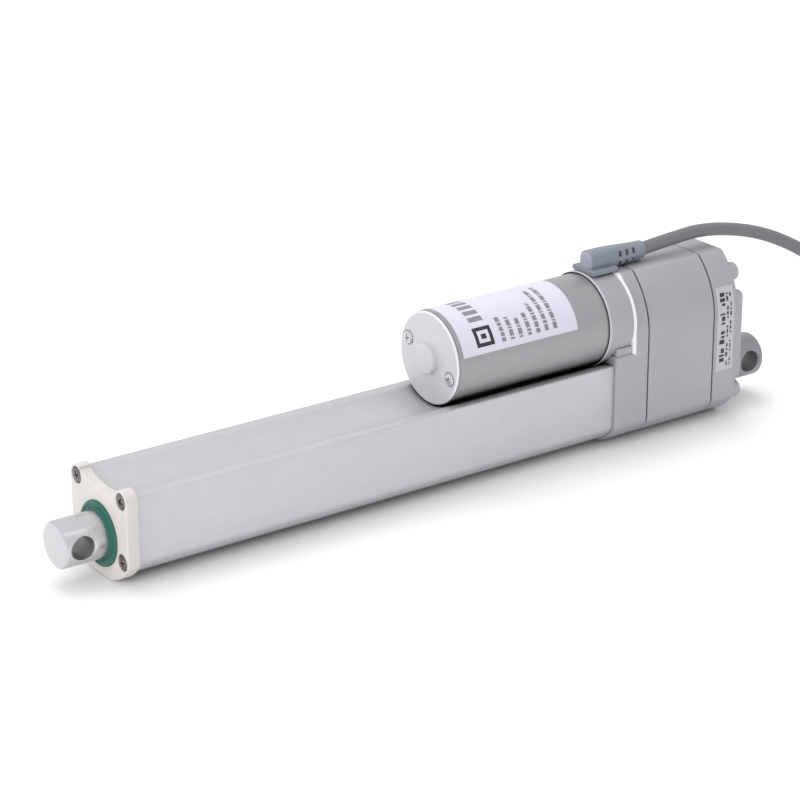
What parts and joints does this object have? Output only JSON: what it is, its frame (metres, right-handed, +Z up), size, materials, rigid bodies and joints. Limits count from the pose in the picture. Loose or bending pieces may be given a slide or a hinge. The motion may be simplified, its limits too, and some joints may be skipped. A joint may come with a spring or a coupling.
{
  "type": "linear actuator",
  "caption": "Electric linear actuator: a motor on top of a square tube turns a lead screw that pushes a round rod in and out; pin eyes at both ends and a trailing lead.",
  "frame": {"origin": "centre of the actuator's box, without its lead, on the plane that it stands on", "axes": "+X along the rod towards its end, +Y to the side with the rating label, +Z up, from the rod to the motor"},
  "size_m": [0.5689, 0.056, 0.0872],
  "materials": {
    "anodised_aluminium": "satin anodised extrusion",
    "turned_aluminium": "fine turned",
    "cast_housing": "silver-grey paint on die casting",
    "motor_paint": "silver paint on drawn steel",
    "ivory_plastic": "moulded, satin",
    "green_seal": "moulded rubber",
    "steel": "turned or rolled steel",
    "zinc_plate": "zinc plated",
    "bronze": "sintered bronze",
    "winding_copper": "enamelled copper wire and copper bars",
    "ferrite": "ceramic magnet or carbon",
    "gear_plastic": "natural acetal",
    "gasket_rubber": "sheet rubber",
    "circuit_board": "glass-epoxy board",
    "black_plastic": "moulded",
    "boot_rubber": "moulded, blue-grey",
    "cable_jacket": "grey PVC jacket",
    "label_film": "printed white film"
  },
  "bodies": {
    "housing": {"outer_tube": "anodised_aluminium", "rear_pivot": "turned_aluminium", "front_housing": "cast_housing", "mid_housing": "cast_housing", "rear_cover": "cast_housing", "motor_can": "motor_paint", "motor_end_bell": "motor_paint", "front_cap": "ivory_plastic", "wiper_seal": "green_seal", "cap_screw_1": "steel", "cap_screw_2": "steel", "cap_screw_3": "steel", "cap_screw_4": "steel", "idler_axle": "steel", "housing_screw_1": "steel", "housing_screw_2": "steel", "housing_screw_3": "steel", "housing_screw_4": "steel", "screw_bearing_outer": "zinc_plate", "motor_screw_1": "zinc_plate", "motor_screw_2": "zinc_plate", "plug_pin_1": "zinc_plate", "plug_pin_2": "zinc_plate", "rod_bush": "bronze", "motor_bush": "bronze", "magnet_left": "ferrite", "magnet_right": "ferrite", "brush_upper": "ferrite", "brush_lower": "ferrite", "front_gasket": "gasket_rubber", "rear_gasket": "gasket_rubber", "limit_board": "circuit_board", "limit_sensor_front": "black_plastic", "limit_sensor_rear": "black_plastic", "brush_card": "black_plastic", "cable_tie": "black_plastic", "plug_body": "black_plastic", "cable_boot": "boot_rubber", "cable": "cable_jacket", "cable_hank": "cable_jacket", "cable_tail": "cable_jacket", "motor_label": "label_film", "rear_label": "label_film"},
    "rod": {"rod_end": "turned_aluminium", "rod_tube": "turned_aluminium", "drive_nut": "gear_plastic", "nut_pin": "steel", "limit_magnet": "ferrite"},
    "screw": {"lead_screw": "steel", "screw_bearing_inner": "zinc_plate", "screw_collar": "steel", "screw_gear": "gear_plastic"},
    "idler": {"idler_gear_small": "steel", "idler_gear_large": "gear_plastic", "idler_spacer": "steel"},
    "rotor": {"motor_shaft": "steel", "armature": "winding_copper", "commutator": "winding_copper", "motor_pinion": "steel"}
  },
  "joints": [
    {"name": "motor_spin", "type": "hinge", "parent": "housing", "child": "rotor", "pos_m": [-0.12, 0, 0.0563], "axis": [1, 0, 0], "range_deg": [0, 60000]},
    {"name": "idler_spin", "type": "hinge", "parent": "housing", "child": "idler", "pos_m": [-0.12, 0, 0.0355], "axis": [1, 0, 0], "range_deg": [-18000, 0]},
    {"name": "screw_spin", "type": "hinge", "parent": "housing", "child": "screw", "pos_m": [-0.12, 0, 0.018], "axis": [1, 0, 0], "range_deg": [0, 13500]},
    {"name": "rod_slide", "type": "slide", "parent": "housing", "child": "rod", "axis": [1, 0, 0], "range_m": [0, 0.15]}
  ],
  "couplings": [
    {"joint": "idler_spin", "follows": "motor_spin", "ratio": -0.3},
    {"joint": "screw_spin", "follows": "motor_spin", "ratio": 0.225},
    {"joint": "rod_slide", "follows": "motor_spin", "m_per_rad": 0.00014324}
  ]
}
